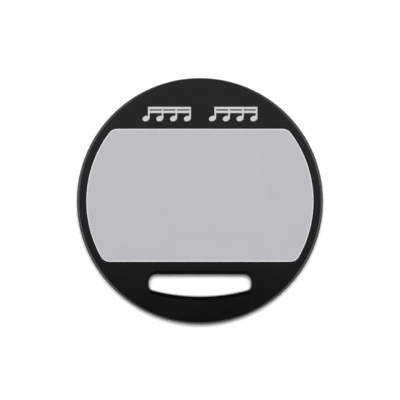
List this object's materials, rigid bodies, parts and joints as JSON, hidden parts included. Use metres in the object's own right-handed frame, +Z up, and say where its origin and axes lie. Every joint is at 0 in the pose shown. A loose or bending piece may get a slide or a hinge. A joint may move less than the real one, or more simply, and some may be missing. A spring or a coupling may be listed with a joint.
{
  "type": "percussion practice pad",
  "caption": "Round practice pad for percussion, with a flush-set rubber playing surface, a cored two-shell body and a lined hand grip slot.",
  "frame": {"origin": "centre of the disc, on the surface that the pad rests on", "axes": "+Z up, out of the playing surface; +Y away from the player, towards the printed mark, with the grip slot at -Y; +X to the player's right"},
  "size_m": [0.305, 0.305, 0.0248],
  "materials": {
    "top_shell_plastic": "moulded black plastic with a fine satin grain",
    "bottom_shell_plastic": "moulded black plastic with a fine satin grain",
    "gasket_foam": "dark closed-cell foam tape",
    "liner_elastomer": "soft matt black elastomer",
    "playing_rubber": "light grey rubber with a fine sandy face",
    "adhesive": "pale double-sided adhesive film",
    "rebound_foam": "dense dark grey closed-cell foam",
    "board_wood": "medium-density fibreboard with sanded faces",
    "cushion_foam": "soft open-cell foam",
    "mat_rubber": "dark non-slip sponge rubber with a fine pebbled face",
    "screw_steel": "zinc-plated steel",
    "mark_ink": "silver-grey pad-printed ink"
  },
  "bodies": {
    "root": {"top_shell": "top_shell_plastic", "bottom_shell": "bottom_shell_plastic", "rim_gasket": "gasket_foam", "grip_liner": "liner_elastomer", "playing_surface": "playing_rubber", "surface_adhesive": "adhesive", "rebound_foam": "rebound_foam", "foam_adhesive": "adhesive", "window_gasket": "gasket_foam", "core_board": "board_wood", "core_cushion": "cushion_foam", "base_mat": "mat_rubber", "mat_adhesive": "adhesive", "shell_screws": "screw_steel", "printed_mark": "mark_ink"}
  },
  "joints": []
}
